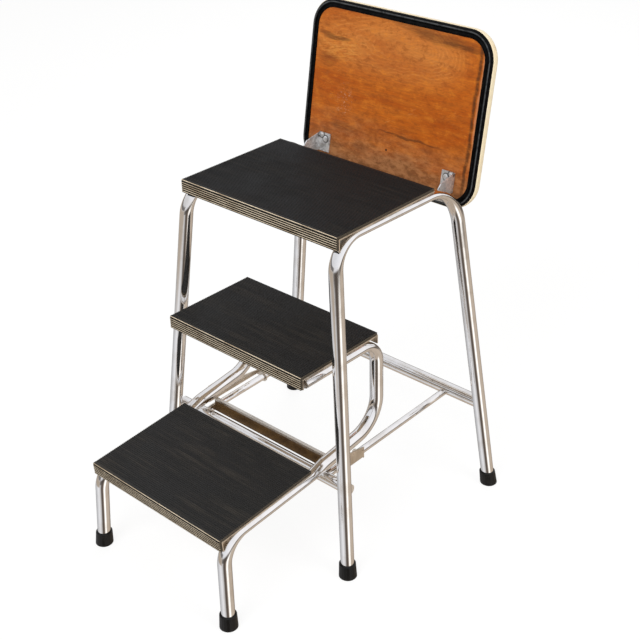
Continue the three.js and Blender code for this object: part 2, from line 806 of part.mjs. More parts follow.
// Hinge pins: a shoulder against the side frame, the pin and an inner head
function addHingePin(side, label) {
  const shoulder = bracketX + seatGap;
  const railX = (frontCornerX + rearCornerX) / 2 + tubeRadius / 4;
  const innerFace = bracketX - bracketSheet - seatGap;
  const pinEnds = [at(side * innerFace, hingeY, hingeZ), at(side * railX, hingeY, hingeZ)];
  const headEnds = [at(side * (innerFace - hingeHeadThickness), hingeY, hingeZ), at(side * innerFace, hingeY, hingeZ)];
  const solid = union([
    cylinderBetween(...pinEnds, hingePinRadius),
    cylinderBetween(...headEnds, hingeHeadRadius),
    cylinderBetween(at(side * shoulder, hingeY, hingeZ), pinEnds[1], hingeBossRadius),
  ]);
  const trimmed = solid.subtract(sideFrameCutter(side)).decompose();
  trimmed.sort((a, b) => b.volume() - a.volume());
  addNode(stool, `hinge_pin_${label}`, toGeometry(trimmed[0]), zinc());
}

// Assembly
const sides = [[1, 'right'], [-1, 'left']];
const frontLeg = legPoint(frontFootX, frontFootY, frontCornerX, frontCornerY, frontCrossZ);
const rearLeg = legPoint(rearFootX, rearFootY, rearCornerX, rearCornerY, rearCrossZ);

addCrossTube('cross_tube_front', frontCrossY, frontCrossZ, frontLeg.x - crossTubeInset, frontCrossRadius);
addCrossTube('cross_tube_rear', rearCrossY, rearCrossZ, rearLeg.x - crossTubeInset, tubeRadius);
// The rear lips of the top and lower treads hang only between the tubes under them
const topLipHalf = frontCornerX - tubeRadius - guideGap;
const middleLipHalf = middleTreadWidth / 2;
const lowerLipHalf = stepTubeX - tubeRadius - guideGap;
addTread('top', topTreadWidth, topTreadDepth, topTreadHeight, 0, 0, topLipHalf);
addTread('middle', middleTreadWidth, middleTreadDepth, middleTreadHeight, middleTreadFrontY, 0, middleLipHalf);
addTread(
  'lower', lowerTreadWidth, lowerTreadDepth, lowerTreadHeight, lowerTreadFrontY, lowerTreadTilt, lowerLipHalf,
);
addStretcherBar();
sides.forEach(([side, label]) => {
  addSideFrame(side, label);
  addGuideRod(side, label);
  addFoot(`foot_front_${label}`, at(side * frontFootX, frontFootY, 0), at(side * frontCornerX, frontCornerY, railZ));
  addFoot(`foot_rear_${label}`, at(side * rearFootX, rearFootY, 0), at(side * rearCornerX, rearCornerY, railZ));
  addStepTube(side, label);
  addTubeEndCap(side, label);
  addFoot(`foot_step_${label}`, at(side * stepFootX, stepFootY, 0), at(side * stepTubeX, stepLegTopY, runStartZ));
  addGuidePlate(side, label, side > 0 ? rightEyeY : leftEyeY);
  addSeatBracket(side, label);
  addBracketRivets(side, label);
  addHingePin(side, label);
});
addSeatBoard();
addSeatTrim();
addCushion();

// The box of the part is centred on the origin across and front to back
stool.updateMatrixWorld(true);
const box = new THREE.Box3().setFromObject(stool, true);
stool.position.y = -(box.min.y + box.max.y) / 2;
stool.updateMatrixWorld(true);

export default stool;
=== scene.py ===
import json
import math

import bmesh
import bpy
from mathutils import Matrix, Vector


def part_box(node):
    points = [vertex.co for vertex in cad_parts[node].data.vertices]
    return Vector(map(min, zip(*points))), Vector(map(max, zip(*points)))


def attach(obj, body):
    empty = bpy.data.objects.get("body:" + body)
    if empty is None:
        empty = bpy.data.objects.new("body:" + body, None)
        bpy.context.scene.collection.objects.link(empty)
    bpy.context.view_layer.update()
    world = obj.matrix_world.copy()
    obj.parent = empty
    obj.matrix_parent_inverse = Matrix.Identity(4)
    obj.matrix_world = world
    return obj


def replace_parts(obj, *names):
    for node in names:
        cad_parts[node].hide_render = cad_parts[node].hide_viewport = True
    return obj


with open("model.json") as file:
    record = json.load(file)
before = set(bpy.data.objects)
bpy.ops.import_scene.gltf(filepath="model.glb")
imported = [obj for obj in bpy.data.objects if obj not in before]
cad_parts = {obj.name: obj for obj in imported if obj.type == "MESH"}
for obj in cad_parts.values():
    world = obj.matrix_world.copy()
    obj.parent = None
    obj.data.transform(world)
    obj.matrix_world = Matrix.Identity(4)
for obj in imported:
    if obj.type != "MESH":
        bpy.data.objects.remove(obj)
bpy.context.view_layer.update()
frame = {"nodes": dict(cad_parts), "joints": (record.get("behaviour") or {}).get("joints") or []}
nodes = frame["nodes"]
joint_places = {joint["name"]: joint.get("pos_m") for joint in frame["joints"]}

# Treads, in metres

FRONT_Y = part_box("tread_mat_top")[0].y
TREAD_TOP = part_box("tread_mat_top")[1].z
MIDDLE_FRONT_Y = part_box("tread_mat_middle")[0].y
MIDDLE_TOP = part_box("tread_mat_middle")[1].z
LOWER_TILT = math.radians(4.3)
LOWER_TOP = 0.166
LOWER_AHEAD = 0.248
LOWER_FRONT_Y = FRONT_Y - LOWER_AHEAD
TOP_WIDTH = 0.331
TOP_DEPTH = 0.224
SHEET = 0.0022
MAT_THICKNESS = 0.0036
MAT_GAP = 0.0003
NOSE_DROP = 0.022
NOSE_RIBS = 5
NOSE_PITCH = (NOSE_DROP - MAT_THICKNESS) / NOSE_RIBS

# Seat

SEAT_LEAN = math.radians(10)
HINGE = Vector(joint_places["seat_fold"])
HINGE_TO_BOARD = 0.0343
SEAT_WIDTH = 0.368
SEAT_LENGTH = 0.282
SEAT_TAIL = 0.0252
SEAT_CORNER = 0.046
LEAST_CORNER = 0.002
ARC_STEPS = 14
SIDE_STEPS = 40
BOARD_THICKNESS = 0.009
BEAD_RADIUS = 0.004
BEAD_PROUD = 0.0018
BEAD_INSET = 0.0001
CROWN_HIGHLIGHT_DEPTH = 0.00035
RIVETS = [f"bracket_rivet_{row}_{side}" for row in ("inner", "outer") for side in ("left", "right")]

seat_place = Matrix.Translation(HINGE) @ Matrix.Rotation(-SEAT_LEAN, 4, "X")

# Tubes, from the top tread's front edge and the floor

TUBE_RADIUS = 0.011
TUBE_SIDES = 36
TUBE_END_LIFT = 0.006
LONGEST_PIECE = 0.02
DEGREES_PER_RING = 3
# a flattened rail's height as a share of its width
RAIL_FLAT_SHARE = 0.62
STEP_FLAT_SHARE = 0.72
FRONT_RAIL_INSET = 0.010
REAR_RAIL_INSET = 0.0055
FRONT_CORNER_Y = 0.0055
REAR_CORNER_SET = 0.0555
FRONT_LEG_SPLAY = 0.056
FRONT_LEG_LEAN = 0.0455
REAR_LEG_SPLAY = 0.077
REAR_LEG_LEAN = 0.0265
FRAME_BENDS = (0.050, 0.066)
STEP_TUBE_INSET = 0.0135
STEP_LEG_SPLAY = 0.008
STEP_FOOT_Y = -0.2445
LEG_TOP_Y = -0.236
JOG_START_Y = -0.044
JOG_END_Y = -0.016
JOG_RISE = 0.0035
REAR_RUN_SLOPE = math.radians(7.5)
BACK_TUBE_Y = 0.113
RUN_FRONT_Y = -0.054
STEP_BENDS = (0.045, 0.060, 0.060, 0.058, 0.038)
PIVOT_Z = joint_places["step_lift"][2]

# Tube corners that follow from these

to_rest = Vector((0, FRONT_Y, 0))
rail_z = TREAD_TOP - MAT_THICKNESS - SHEET - TUBE_RADIUS * RAIL_FLAT_SHARE - MAT_GAP
front_corner = Vector((TOP_WIDTH / 2 - FRONT_RAIL_INSET, FRONT_CORNER_Y, rail_z))
rear_corner = Vector((TOP_WIDTH / 2 - REAR_RAIL_INSET, TOP_DEPTH + REAR_CORNER_SET, rail_z))
front_foot = Vector((front_corner.x + FRONT_LEG_SPLAY, front_corner.y - FRONT_LEG_LEAN, 0))
rear_foot = Vector((rear_corner.x + REAR_LEG_SPLAY, rear_corner.y + REAR_LEG_LEAN, 0))
step_x = front_corner.x - STEP_TUBE_INSET
run_drop = MAT_THICKNESS + SHEET + TUBE_RADIUS * STEP_FLAT_SHARE + MAT_GAP
run_slope = math.tan(LOWER_TILT)
leg_top_z = LOWER_TOP + (LEG_TOP_Y + LOWER_AHEAD) * run_slope - run_drop / math.cos(LOWER_TILT)
jog_start_z = leg_top_z + (JOG_START_Y - LEG_TOP_Y) * run_slope
jog_end_z = jog_start_z + (JOG_END_Y - JOG_START_Y) * run_slope + JOG_RISE
run_end_z = jog_end_z + (BACK_TUBE_Y - JOG_END_Y) * math.tan(REAR_RUN_SLOPE)
top_run_z = MIDDLE_TOP - run_drop
step_foot = Vector((step_x + STEP_LEG_SPLAY, STEP_FOOT_Y, 0))
leg_top = Vector((step_x, LEG_TOP_Y, leg_top_z))

# Cushion: how it is blown up, and how far its points may move at the rim and at the crown

PAD_VOXEL = 0.005
PAD_PRESSURE = 4
PAD_QUALITY = 5
PAD_STEPS = 20
PAD_REST_GAP = 0.0004
HELD_DEPTH = 0.0015
RIM_SWELL = 0.0045
CROWN_SWELL = 0.0065
RIM_DEPTH = 0.008
CROWN_DEPTH = 0.024
SMOOTHED_DEPTH = 0.003
SMOOTHING_PASSES = 9
CORNER_TIGHTEN_SHARE = 0.3

# Camera and floor

AZIMUTH = math.radians(43.36)
ELEVATION = math.radians(29.87)
ROLL = math.radians(1.6)
CAMERA_PLACE = Vector((1.2168, -1.1531 + FRONT_Y, 1.3340))
CAMERA_LENS = 69.04
CAMERA_SENSOR = 36
FLOOR_RADIUS = 14


# Node looks

class Look:
    """One node material, built a node at a time. Its place is the rest frame in metres."""

    def __init__(self, name, tree=None):
        if tree is None:
            self.material = bpy.data.materials.new(name)
            self.material.use_nodes = True
            tree = self.material.node_tree
            self.shader = tree.nodes["Principled BSDF"]
        self.tree = tree

    def node(self, kind, inputs=None, **settings):
        made = self.tree.nodes.new(kind)
        for key, value in settings.items():
            setattr(made, key, value)
        for key, value in (inputs or {}).items():
            self.feed(made.inputs[key], value)
        return made

    def feed(self, socket, value):
        if isinstance(value, bpy.types.NodeSocket):
            self.tree.links.new(value, socket)
        else:
            socket.default_value = value

    def place(self, location=(0, 0, 0), rotation=(0, 0, 0), scale=(1, 1, 1)):
        """Object coordinates, moved into a local frame at location and stretched by scale."""
        where = self.node("ShaderNodeTexCoord").outputs["Object"]
        back = tuple(-x for x in location)
        moved = self.node("ShaderNodeVectorMath", {0: where, 1: back}, operation="ADD").outputs[0]
        turned = self.node(
            "ShaderNodeVectorRotate", {"Vector": moved, "Rotation": rotation}, rotation_type="EULER_XYZ"
        )
        sized = self.node("ShaderNodeVectorMath", {0: turned.outputs[0], 1: scale}, operation="MULTIPLY")
        return sized.outputs[0]

    def seat_frame(self):
        """Object coordinates in the seat's own frame: across, depth from the hinge, up along the board."""
        return self.place(location=HINGE, rotation=(SEAT_LEAN, 0, 0))

    def noise(self, where, scale, detail=4.0, rough=0.55, twist=0.0):
        made = self.node(
            "ShaderNodeTexNoise",
            {"Vector": where, "Scale": scale, "Detail": detail, "Roughness": rough, "Distortion": twist},
        )
        return made.outputs[0]

    def math(self, operation, a, b=0.0):
        return self.node("ShaderNodeMath", {0: a, 1: b}, operation=operation).outputs[0]

    def plus(self, a, b):
        return self.math("ADD", a, b)

    def minus(self, a, b):
        return self.math("SUBTRACT", a, b)

    def times(self, a, b):
        return self.math("MULTIPLY", a, b)

    def squares(self, a, b):
        return self.plus(self.times(a, a), self.times(b, b))

    def sway(self, noise, reach):
        """A shift to either side of zero that follows a noise."""
        return self.times(self.minus(noise, 0.5), reach)

    def oval(self, x, z, centre, half):
        """The square of the distance from an oval's centre, where its edge is 1."""
        across = self.times(self.minus(x, centre[0]), 1 / half[0])
        up = self.times(self.minus(z, centre[1]), 1 / half[1])
        return self.squares(across, up)

    def distance(self, where, point):
        return self.node("ShaderNodeVectorMath", {0: where, 1: point}, operation="DISTANCE").outputs["Value"]

    def span(self, value, low, high, to_low=0.0, to_high=1.0):
        """A smooth step of value between low and high."""
        made = self.node(
            "ShaderNodeMapRange",
            {"Value": value, "From Min": low, "From Max": high, "To Min": to_low, "To Max": to_high},
            interpolation_type="SMOOTHSTEP",
        )
        return made.outputs[0]

    def mix(self, share, a, b, blend="MIX"):
        made = self.node("ShaderNodeMix", data_type="RGBA", blend_type=blend)
        self.feed(made.inputs[0], share)
        self.feed(made.inputs[6], a if isinstance(a, bpy.types.NodeSocket) else (*a, 1))
        self.feed(made.inputs[7], b if isinstance(b, bpy.types.NodeSocket) else (*b, 1))
        return made.outputs[2]

    def tint(self, colour, mask, share, other):
        """The colour with another laid over it where the mask is high, by the share at most."""
        return self.mix(self.times(mask, share), colour, other)

    def ramp(self, value, stops):
        made = self.node("ShaderNodeValToRGB", {0: value})
        elements = made.color_ramp.elements
        while len(elements) < len(stops):
            elements.new(0.5)
        for element, (at, colour) in zip(elements, stops):
            element.position = at
            element.color = (*colour, 1)
        return made.outputs[0]

    def part(self, where, axis):
        return self.node("ShaderNodeSeparateXYZ", {0: where}).outputs[axis]

    def bump(self, height, strength, distance, under=None):
        made = self.node("ShaderNodeBump", {"Height": height, "Strength": strength, "Distance": distance})
        if under is not None:
            self.feed(made.inputs["Normal"], under)
        return made.outputs[0]

    def use(self, **sockets):
        names = {
            "colour": "Base Color",
            "rough": "Roughness",
            "metal": "Metallic",
            "normal": "Normal",
            "coat": "Coat Weight",
            "coat_rough": "Coat Roughness",
            "sheen": "Sheen Weight",
            "sheen_rough": "Sheen Roughness",
            "specular": "Specular IOR Level",
        }
        for key, value in sockets.items():
            self.feed(self.shader.inputs[names[key]], value)
        return self.material


def chrome_look():
    look = Look("chrome_plate")
    where = look.place()
    haze = look.span(look.noise(where, 26, 5, 0.6), 0.42, 0.72)
    specks = look.span(look.noise(where, 420, 3, 0.7), 0.66, 0.74)
    patches = look.span(look.noise(where, 38, 4, 0.65), 0.56, 0.7)
    rust = look.times(specks, patches)
    clean = look.mix(haze, (0.84, 0.825, 0.81), (0.74, 0.71, 0.675))
    colour = look.mix(rust, clean, (0.2, 0.12, 0.07))
    rough = look.plus(look.span(haze, 0, 1, 0.06, 0.15), look.times(rust, 0.45))
    waves = look.noise(look.place(scale=(1, 1, 0.35)), 55, 2, 0.5)
    normal = look.bump(waves, 0.25, 0.0006)
    return look.use(colour=colour, rough=rough, metal=1.0, normal=normal)


def sheet_look():
    look = Look("dull_nickel_sheet")
    where = look.place()
    grain = look.noise(look.place(scale=(0.15, 1, 1)), 900, 3, 0.6)
    cloud = look.span(look.noise(where, 34, 5, 0.6), 0.35, 0.7)
    stains = look.span(look.noise(where, 130, 4, 0.7), 0.6, 0.72)
    colour = look.mix(cloud, (0.84, 0.77, 0.67), (0.62, 0.54, 0.44))
    colour = look.tint(colour, stains, 0.7, (0.2, 0.14, 0.09))
    rough = look.span(cloud, 0, 1, 0.3, 0.46)
    return look.use(colour=colour, rough=rough, metal=1.0, normal=look.bump(grain, 0.2, 0.0002))


def zinc_look():
    look = Look("mottled_zinc")
    where = look.place()
    crystals = look.node("ShaderNodeTexVoronoi", {"Vector": where, "Scale": 260.0}).outputs["Color"]
    flake = look.part(crystals, 0)
    cloud = look.span(look.noise(where, 90, 5, 0.65), 0.35, 0.68)
    colour = look.mix(look.span(flake, 0, 1), (0.86, 0.88, 0.9), (0.56, 0.57, 0.58))
    colour = look.tint(colour, cloud, 0.5, (0.92, 0.92, 0.9))
    dark = look.span(look.noise(where, 210, 4, 0.7), 0.62, 0.74)
    colour = look.tint(colour, dark, 0.85, (0.12, 0.11, 0.1))
    grime = look.span(look.noise(look.place(location=(0, 0, 6)), 60, 5, 0.7), 0.5, 0.68)
    colour = look.tint(colour, grime, 0.6, (0.27, 0.25, 0.22))
    # painted shadow: a dark ring round each rivet head, where its rim shades the bracket
    for name in RIVETS:
        low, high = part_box(name)
        off = look.distance(where, tuple((low + high) / 2))
        ring = look.times(look.span(off, 0.0046, 0.0053), look.span(off, 0.0076, 0.0062))
        colour = look.tint(colour, ring, 0.8, (0.1, 0.095, 0.09))
    rough = look.span(flake, 0, 1, 0.36, 0.56)
    normal = look.bump(look.noise(where, 300, 3, 0.6), 0.3, 0.0004)
    return look.use(colour=colour, rough=rough, metal=0.75, normal=normal)


def mat_look(tread, front, top, tilt, seed, tone):
    """Black ribbed rubber, dusty in its grooves. The nose is painted darker as shade between its ribs, with a
    painted highlight along each rib and along its top edge.
    """
    look = Look(f"ribbed_mat_{tread}")
    half_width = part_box(f"tread_mat_{tread}")[1].x
    local = look.place(location=(0, front, top), rotation=(-tilt, 0, 0))
    deep = look.part(local, 1)
    high = look.part(local, 2)
    across = look.math("ABSOLUTE", look.part(local, 0))
    streaks = look.noise(look.place(location=(seed, 0, 0), scale=(0.06, 1, 1)), 150, 4, 0.65)
    cloud = look.noise(look.place(location=(seed, 0, 0)), 12, 4, 0.6)
    dusty = look.times(look.span(streaks, 0.42, 0.68), look.span(cloud, 0.32, 0.66))
    fine = look.noise(look.place(scale=(0.3, 1, 1)), 1300, 2, 0.6)
    groove = look.span(high, -0.00012, -0.0005)
    colour = look.mix(dusty, (0.016, 0.0156, 0.0152), (0.043, 0.0375, 0.032))
    colour = look.tint(colour, look.span(fine, 0.4, 0.75), 0.3, (0.03, 0.0285, 0.027))
    colour = look.tint(colour, groove, 0.35, (0.03, 0.028, 0.026))
    colour = look.mix(1.0, colour, (tone, tone, tone), "MULTIPLY")
    # the nose: painted shade between the ribs, and a painted highlight along each rib and along the edge
    # above them
    on_front = look.times(look.span(deep, 0.0017, 0.0014), look.span(high, -0.00005, -0.00015))
    colour = look.mix(on_front, colour, (0.009, 0.008, 0.007))
    highlight_noise = look.noise(look.place(location=(0, 0, seed), scale=(0.3, 1, 1)), 60, 5, 0.65)
    # the painted highlight's colour, cream to brown, varied by the noise above
    pale = look.mix(look.span(highlight_noise, 0.42, 0.66), (0.84, 0.71, 0.53), (0.48, 0.37, 0.25))
    on_rib = look.times(look.span(deep, 0.0004, 0.0002), look.span(high, -0.0009, -0.0013))
    turn = look.math("FRACT", look.math("DIVIDE", look.plus(high, NOSE_DROP), NOSE_PITCH))
    middle = look.math("ABSOLUTE", look.minus(turn, 0.7))
    line = look.times(on_rib, look.span(middle, 0.19, 0.1))
    edge = look.times(look.span(high, -0.0013, -0.001), on_front)
    # the share of painted highlight on the rib lines and the top edge line, broken up by the noise
    worn = look.times(look.math("MAXIMUM", line, edge), look.span(highlight_noise, 0.28, 0.45, 0.7, 1.0))
    colour = look.mix(worn, colour, pale)
    at_end = look.span(across, half_width - 0.0005, half_width - 0.00035)
    colour = look.tint(colour, at_end, 0.35, (0.2, 0.16, 0.11))
    rough = look.span(cloud, 0.3, 0.7, 0.52, 0.68)
    pores = look.bump(look.noise(look.place(), 2600, 2, 0.6), 0.3, 0.0002)
    return look.use(colour=colour, rough=rough, normal=pores, specular=0.22)


def rubber_look():
    look = Look("foot_rubber")
    where = look.place()
    scuff = look.span(look.noise(where, 70, 5, 0.65), 0.5, 0.75)
    # paler towards the floor, over the bottom 6 mm, mixed with the scuffs
    low = look.span(look.part(where, 2), 0.0, 0.006, 1.0, 0.0)
    scuffs_and_paler_base = look.math("MAXIMUM", look.times(scuff, 0.5), look.times(low, 0.5))
    colour = look.mix(scuffs_and_paler_base, (0.006, 0.0056, 0.0052), (0.026, 0.023, 0.02))
    rough = look.span(scuff, 0, 1, 0.4, 0.62)
    normal = look.bump(look.noise(where, 900, 3, 0.6), 0.3, 0.0003)
    return look.use(colour=colour, rough=rough, normal=normal, specular=0.22)


def bar_look():
    """Brown paint on the face and worn bright steel along the top lip."""
    look = Look("bar_brown_paint")
    bar_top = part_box("stretcher_bar")[1].z
    where = look.place()
    chips = look.noise(look.place(scale=(0.25, 1, 1)), 90, 4, 0.65)
    edge = look.plus(look.part(where, 2), look.times(chips, 0.0012))
    bare = look.span(edge, bar_top - 0.0042, bar_top - 0.0036)
    cloud = look.span(look.noise(where, 60, 5, 0.6), 0.35, 0.7)
    paint = look.mix(cloud, (0.125, 0.07, 0.026), (0.07, 0.038, 0.016))
    colour = look.mix(bare, paint, (0.62, 0.58, 0.52))
    rough = look.span(bare, 0, 1, 0.5, 0.3)
    normal = look.bump(look.noise(where, 500, 3, 0.6), 0.2, 0.0002)
    return look.use(colour=colour, rough=rough, metal=bare, normal=normal)


def wood_look():
    """Orange varnished plywood: an eye with arches round it, long fibres, stains low down and rubs."""
    look = Look("varnished_plywood")
    local = look.seat_frame()
    x = look.part(local, 0)
    z = look.part(local, 2)
    small_warp = look.noise(look.place(location=(0.5, 0, 0), scale=(0.4, 1, 1)), 70, 3, 0.55)
    broad = look.noise(look.place(location=(0.3, 0, 0), scale=(0.3, 1, 1)), 26, 5, 0.6, 0.5)
    fibres = look.noise(look.place(scale=(0.05, 1, 1)), 900, 4, 0.7)
    mottle = look.noise(look.place(location=(0, 0, 4), scale=(0.5, 1, 1)), 95, 6, 0.78)
    cloudy = look.noise(look.place(location=(0, 0, 1), scale=(0.4, 1, 1)), 24, 5, 0.64)
    colour = wood_figure(look, x, z, small_warp, broad, fibres)
    colour = wood_varnish(look, colour, x, z, mottle)
    colour = wood_edges(look, colour, x, z, mottle, cloudy)
    colour = wood_streaks(look, colour, x, z, small_warp, fibres)
    colour = wood_wear(look, colour, x, z, local)
    rough = look.span(cloudy, 0.3, 0.7, 0.36, 0.52)
    normal = look.bump(fibres, 0.3, 0.0003)
    return look.use(colour=colour, rough=rough, normal=normal, coat=0.06, coat_rough=0.3, specular=0.2)


def wood_figure(look, x, z, small_warp, broad, fibres):
    """Ovals round the eye, short to the right of it and drawn out far to the left, and long bands."""
    eye_x, eye_z = 0.052, 0.207
    warp = look.noise(look.place(location=(0.2, 0, 0)), 13, 4, 0.55)
    from_eye = look.minus(x, eye_x)
    ahead = look.times(look.math("MAXIMUM", from_eye, 0.0), 0.62)
    astern = look.math("MINIMUM", from_eye, 0.0)
    off_x = look.plus(ahead, look.times(astern, 0.19))
    off_z = look.minus(look.minus(z, eye_z), look.times(astern, 0.06))
    off = look.math("SQRT", look.squares(off_x, off_z))
    rings = look.plus(look.plus(off, look.sway(warp, 0.03)), look.sway(small_warp, 0.004))
    wave = look.math("SINE", look.times(rings, 1350.0))
    slow = look.math("SINE", look.times(rings, 310.0))
    near = look.times(look.span(off, 0.062, 0.04), look.span(off, 0.006, 0.022, 0.25, 1.0))
    pale_line = look.times(look.span(wave, 0.45, 1.0), near)
    dark_line = look.times(look.span(wave, -0.3, -0.95), look.span(off, 0.14, 0.03, 0.3, 1.0))
    breaks = look.noise(look.place(location=(0.7, 0, 0), scale=(0.3, 1, 1)), 120, 4, 0.7)
    broken = look.span(breaks, 0.38, 0.6)
    bands = look.noise(look.place(location=(0.9, 0, 0), scale=(0.07, 1, 1)), 190, 4, 0.65)
    colour = look.mix(look.span(broad, 0.3, 0.7), (0.47, 0.088, 0.0045), (0.62, 0.155, 0.0105))
    colour = look.tint(colour, look.span(slow, -0.5, 0.9), 0.14, (0.64, 0.2, 0.022))
    colour = look.tint(colour, dark_line, 0.2, (0.29, 0.062, 0.0055))
    colour = look.tint(colour, look.span(bands, 0.5, 0.72), 0.42, (0.3, 0.066, 0.009))
    colour = look.tint(colour, look.span(bands, 0.45, 0.28), 0.3, (0.74, 0.235, 0.022))
    colour = look.tint(colour, look.span(fibres, 0.42, 0.66), 0.46, (0.3, 0.075, 0.011))
    colour = look.tint(colour, look.times(pale_line, broken), 0.26, (0.84, 0.38, 0.09))
    paler = look.times(look.span(off, 0.075, 0.02), look.span(broad, 0.3, 0.6, 0.55, 1.0))
    return look.tint(colour, paler, 0.4, (0.78, 0.33, 0.085))


def wood_varnish(look, colour, x, z, mottle):
    """Small dark and bright patches, and a bright fan at the left, where the arches run out."""
    colour = look.tint(colour, look.span(mottle, 0.5, 0.62), 0.5, (0.29, 0.064, 0.007))
    colour = look.tint(colour, look.span(mottle, 0.47, 0.36), 0.36, (0.8, 0.26, 0.022))
    fan_place = look.place(location=(0.4, 0, 0), rotation=(0, 0.22, 0), scale=(0.14, 1, 1))
    streaks = look.span(look.noise(fan_place, 330, 4, 0.7), 0.42, 0.62)
    fan = look.span(look.oval(x, z, (-0.118, 0.182), (0.05, 0.026)), 1.2, 0.1)
    return look.tint(colour, look.times(fan, streaks), 0.42, (0.88, 0.4, 0.08))


def wood_edges(look, colour, x, z, mottle, cloudy):
    """Greyer toward the bottom edge, and a dark line with a bright rim along the trim at the right."""
    low = look.plus(z, look.sway(cloudy, 0.15))
    grey = look.mix(look.span(mottle, 0.4, 0.6), (0.36, 0.17, 0.07), (0.17, 0.075, 0.028))
    colour = look.mix(look.span(low, 0.095, -0.005, 0.0, 0.85), colour, grey)
    side = look.plus(x, look.sway(cloudy, 0.012))
    band = look.times(look.span(side, 0.1575, 0.162), look.span(side, 0.167, 0.164))
    band = look.times(band, look.span(mottle, 0.36, 0.56, 0.5, 0.85))
    colour = look.mix(band, colour, (0.085, 0.03, 0.009))
    rim = look.times(look.span(side, 0.1662, 0.1685), look.span(z, 0.03, 0.08))
    return look.tint(colour, rim, 0.5, (0.75, 0.33, 0.15))


def wood_streaks(look, colour, x, z, small_warp, fibres):
    """Dark streaks at the top corners, and a long shake low on the right."""
    for at_x, at_z, half_x, half_z, tilt, share in (
        (0.095, 0.231, 0.08, 0.011, 0.03, 0.6),
        (0.128, 0.226, 0.045, 0.0045, 0.05, 0.6),
        (0.03, 0.240, 0.05, 0.007, 0.02, 0.45),
        (-0.126, 0.195, 0.03, 0.0042, -0.04, 0.75),
        (-0.15, 0.199, 0.02, 0.0034, -0.04, 0.6),
        (-0.142, 0.158, 0.022, 0.012, 0.0, 0.35),
        (0.045, 0.064, 0.074, 0.0026, 0.03, 0.72),
        (-0.095, 0.052, 0.03, 0.008, 0.0, 0.4),
        (-0.058, 0.022, 0.02, 0.012, 0.0, 0.4),
    ):
        run = look.times(look.minus(x, at_x), 1 / half_x)
        tilted = look.plus(look.minus(z, at_z), look.times(run, tilt * half_x))
        rise = look.times(look.plus(tilted, look.sway(small_warp, 0.012)), 1 / half_z)
        gone = look.squares(run, rise)
        streak = look.times(look.span(gone, 1.3, 0.15), look.span(fibres, 0.32, 0.52, 0.45, 1.0))
        colour = look.tint(colour, streak, share, (0.115, 0.035, 0.009))
    return colour


def wood_wear(look, colour, x, z, local):
    """Pale rubs, a scraped patch at the left, flecks, and a nail hole painted dark as the shade inside it."""
    rub_place = look.place(rotation=(0, 0.5, 0), scale=(0.07, 1, 1))
    rubs = look.span(look.noise(rub_place, 560, 2, 0.5), 0.64, 0.74)
    spread = look.span(look.noise(look.place(location=(0.1, 0, 0)), 11, 2, 0.5), 0.42, 0.6)
    colour = look.tint(colour, look.times(rubs, spread), 0.22, (0.82, 0.4, 0.13))
    scrape = look.span(look.oval(x, z, (-0.1, 0.098), (0.02, 0.032)), 1.2, 0.3)
    scratches = look.span(look.noise(look.place(location=(0, 0, 7)), 240, 4, 0.75), 0.56, 0.64)
    colour = look.tint(colour, look.times(scrape, scratches), 0.6, (0.62, 0.4, 0.24))
    flecks = look.span(look.noise(look.place(location=(0, 0, 3)), 330, 3, 0.7), 0.68, 0.74)
    colour = look.tint(colour, flecks, 0.75, (0.09, 0.03, 0.009))
    # painted shade: the nail hole is a dark spot in the colour
    hole = look.distance(local, (0.0018, HINGE_TO_BOARD, 0.0352))
    return look.mix(look.span(hole, 0.0026, 0.0012), colour, (0.02, 0.01, 0.006))


def trim_look():
    """Black edge with a painted highlight along its bead's crown."""
    look = Look("black_piping")
    where = look.place()
    cloud = look.span(look.noise(where, 120, 4, 0.6), 0.4, 0.72)
    colour = look.mix(cloud, (0.0016, 0.0016, 0.0018), (0.0055, 0.0055, 0.006))
    deep = look.part(look.seat_frame(), 1)
    crown = HINGE_TO_BOARD - BEAD_PROUD
    # painted highlight: a pale grey line along the bead's crown, broken up by a noise
    line = look.span(deep, crown + CROWN_HIGHLIGHT_DEPTH, crown)
    worn = look.span(look.noise(look.place(location=(0, 0, 6)), 90, 3, 0.65), 0.32, 0.6, 0.25, 0.8)
    colour = look.tint(colour, line, worn, (0.12, 0.125, 0.13))
    rough = look.span(cloud, 0, 1, 0.27, 0.42)
    normal = look.bump(look.noise(where, 700, 2, 0.5), 0.15, 0.0003)
    return look.use(colour=colour, rough=rough, normal=normal, specular=0.05)


def cover_look():
    """Aged cream coated cloth: fine grain across the side, pink and grey soiling, dark specks."""
    look = Look("aged_cream_cover")
    where = look.place()
    cloud = look.noise(where, 16, 5, 0.6)
    soil = look.noise(look.place(location=(0, 0, 2), scale=(1, 1, 0.5)), 48, 5, 0.65)
    colour = look.mix(look.span(cloud, 0.3, 0.7), (0.98, 0.85, 0.6), (0.93, 0.76, 0.5))
    colour = look.tint(colour, look.span(soil, 0.52, 0.75), 0.5, (0.6, 0.46, 0.29))
    colour = look.tint(colour, look.span(soil, 0.47, 0.3), 0.4, (0.92, 0.75, 0.64))
    weave = look.noise(look.place(scale=(1, 1, 0.25)), 620, 3, 0.6)
    colour = look.tint(colour, look.span(weave, 0.5, 0.75), 0.3, (0.66, 0.5, 0.31))
    specks = look.span(look.noise(look.place(location=(0, 0, 5)), 210, 2, 0.6), 0.72, 0.76)
    colour = look.tint(colour, specks, 0.85, (0.1, 0.075, 0.05))
    cells = look.node("ShaderNodeTexVoronoi", {"Vector": where, "Scale": 700.0}).outputs["Distance"]
    grain = look.bump(cells, 0.35, 0.0003)
    folds = look.bump(look.noise(look.place(scale=(1, 1, 0.3)), 75, 3, 0.55), 0.3, 0.001, grain)
    rough = look.span(cloud, 0.3, 0.7, 0.45, 0.62)
    return look.use(colour=colour, rough=rough, normal=folds, sheen=0.12, sheen_rough=0.5)


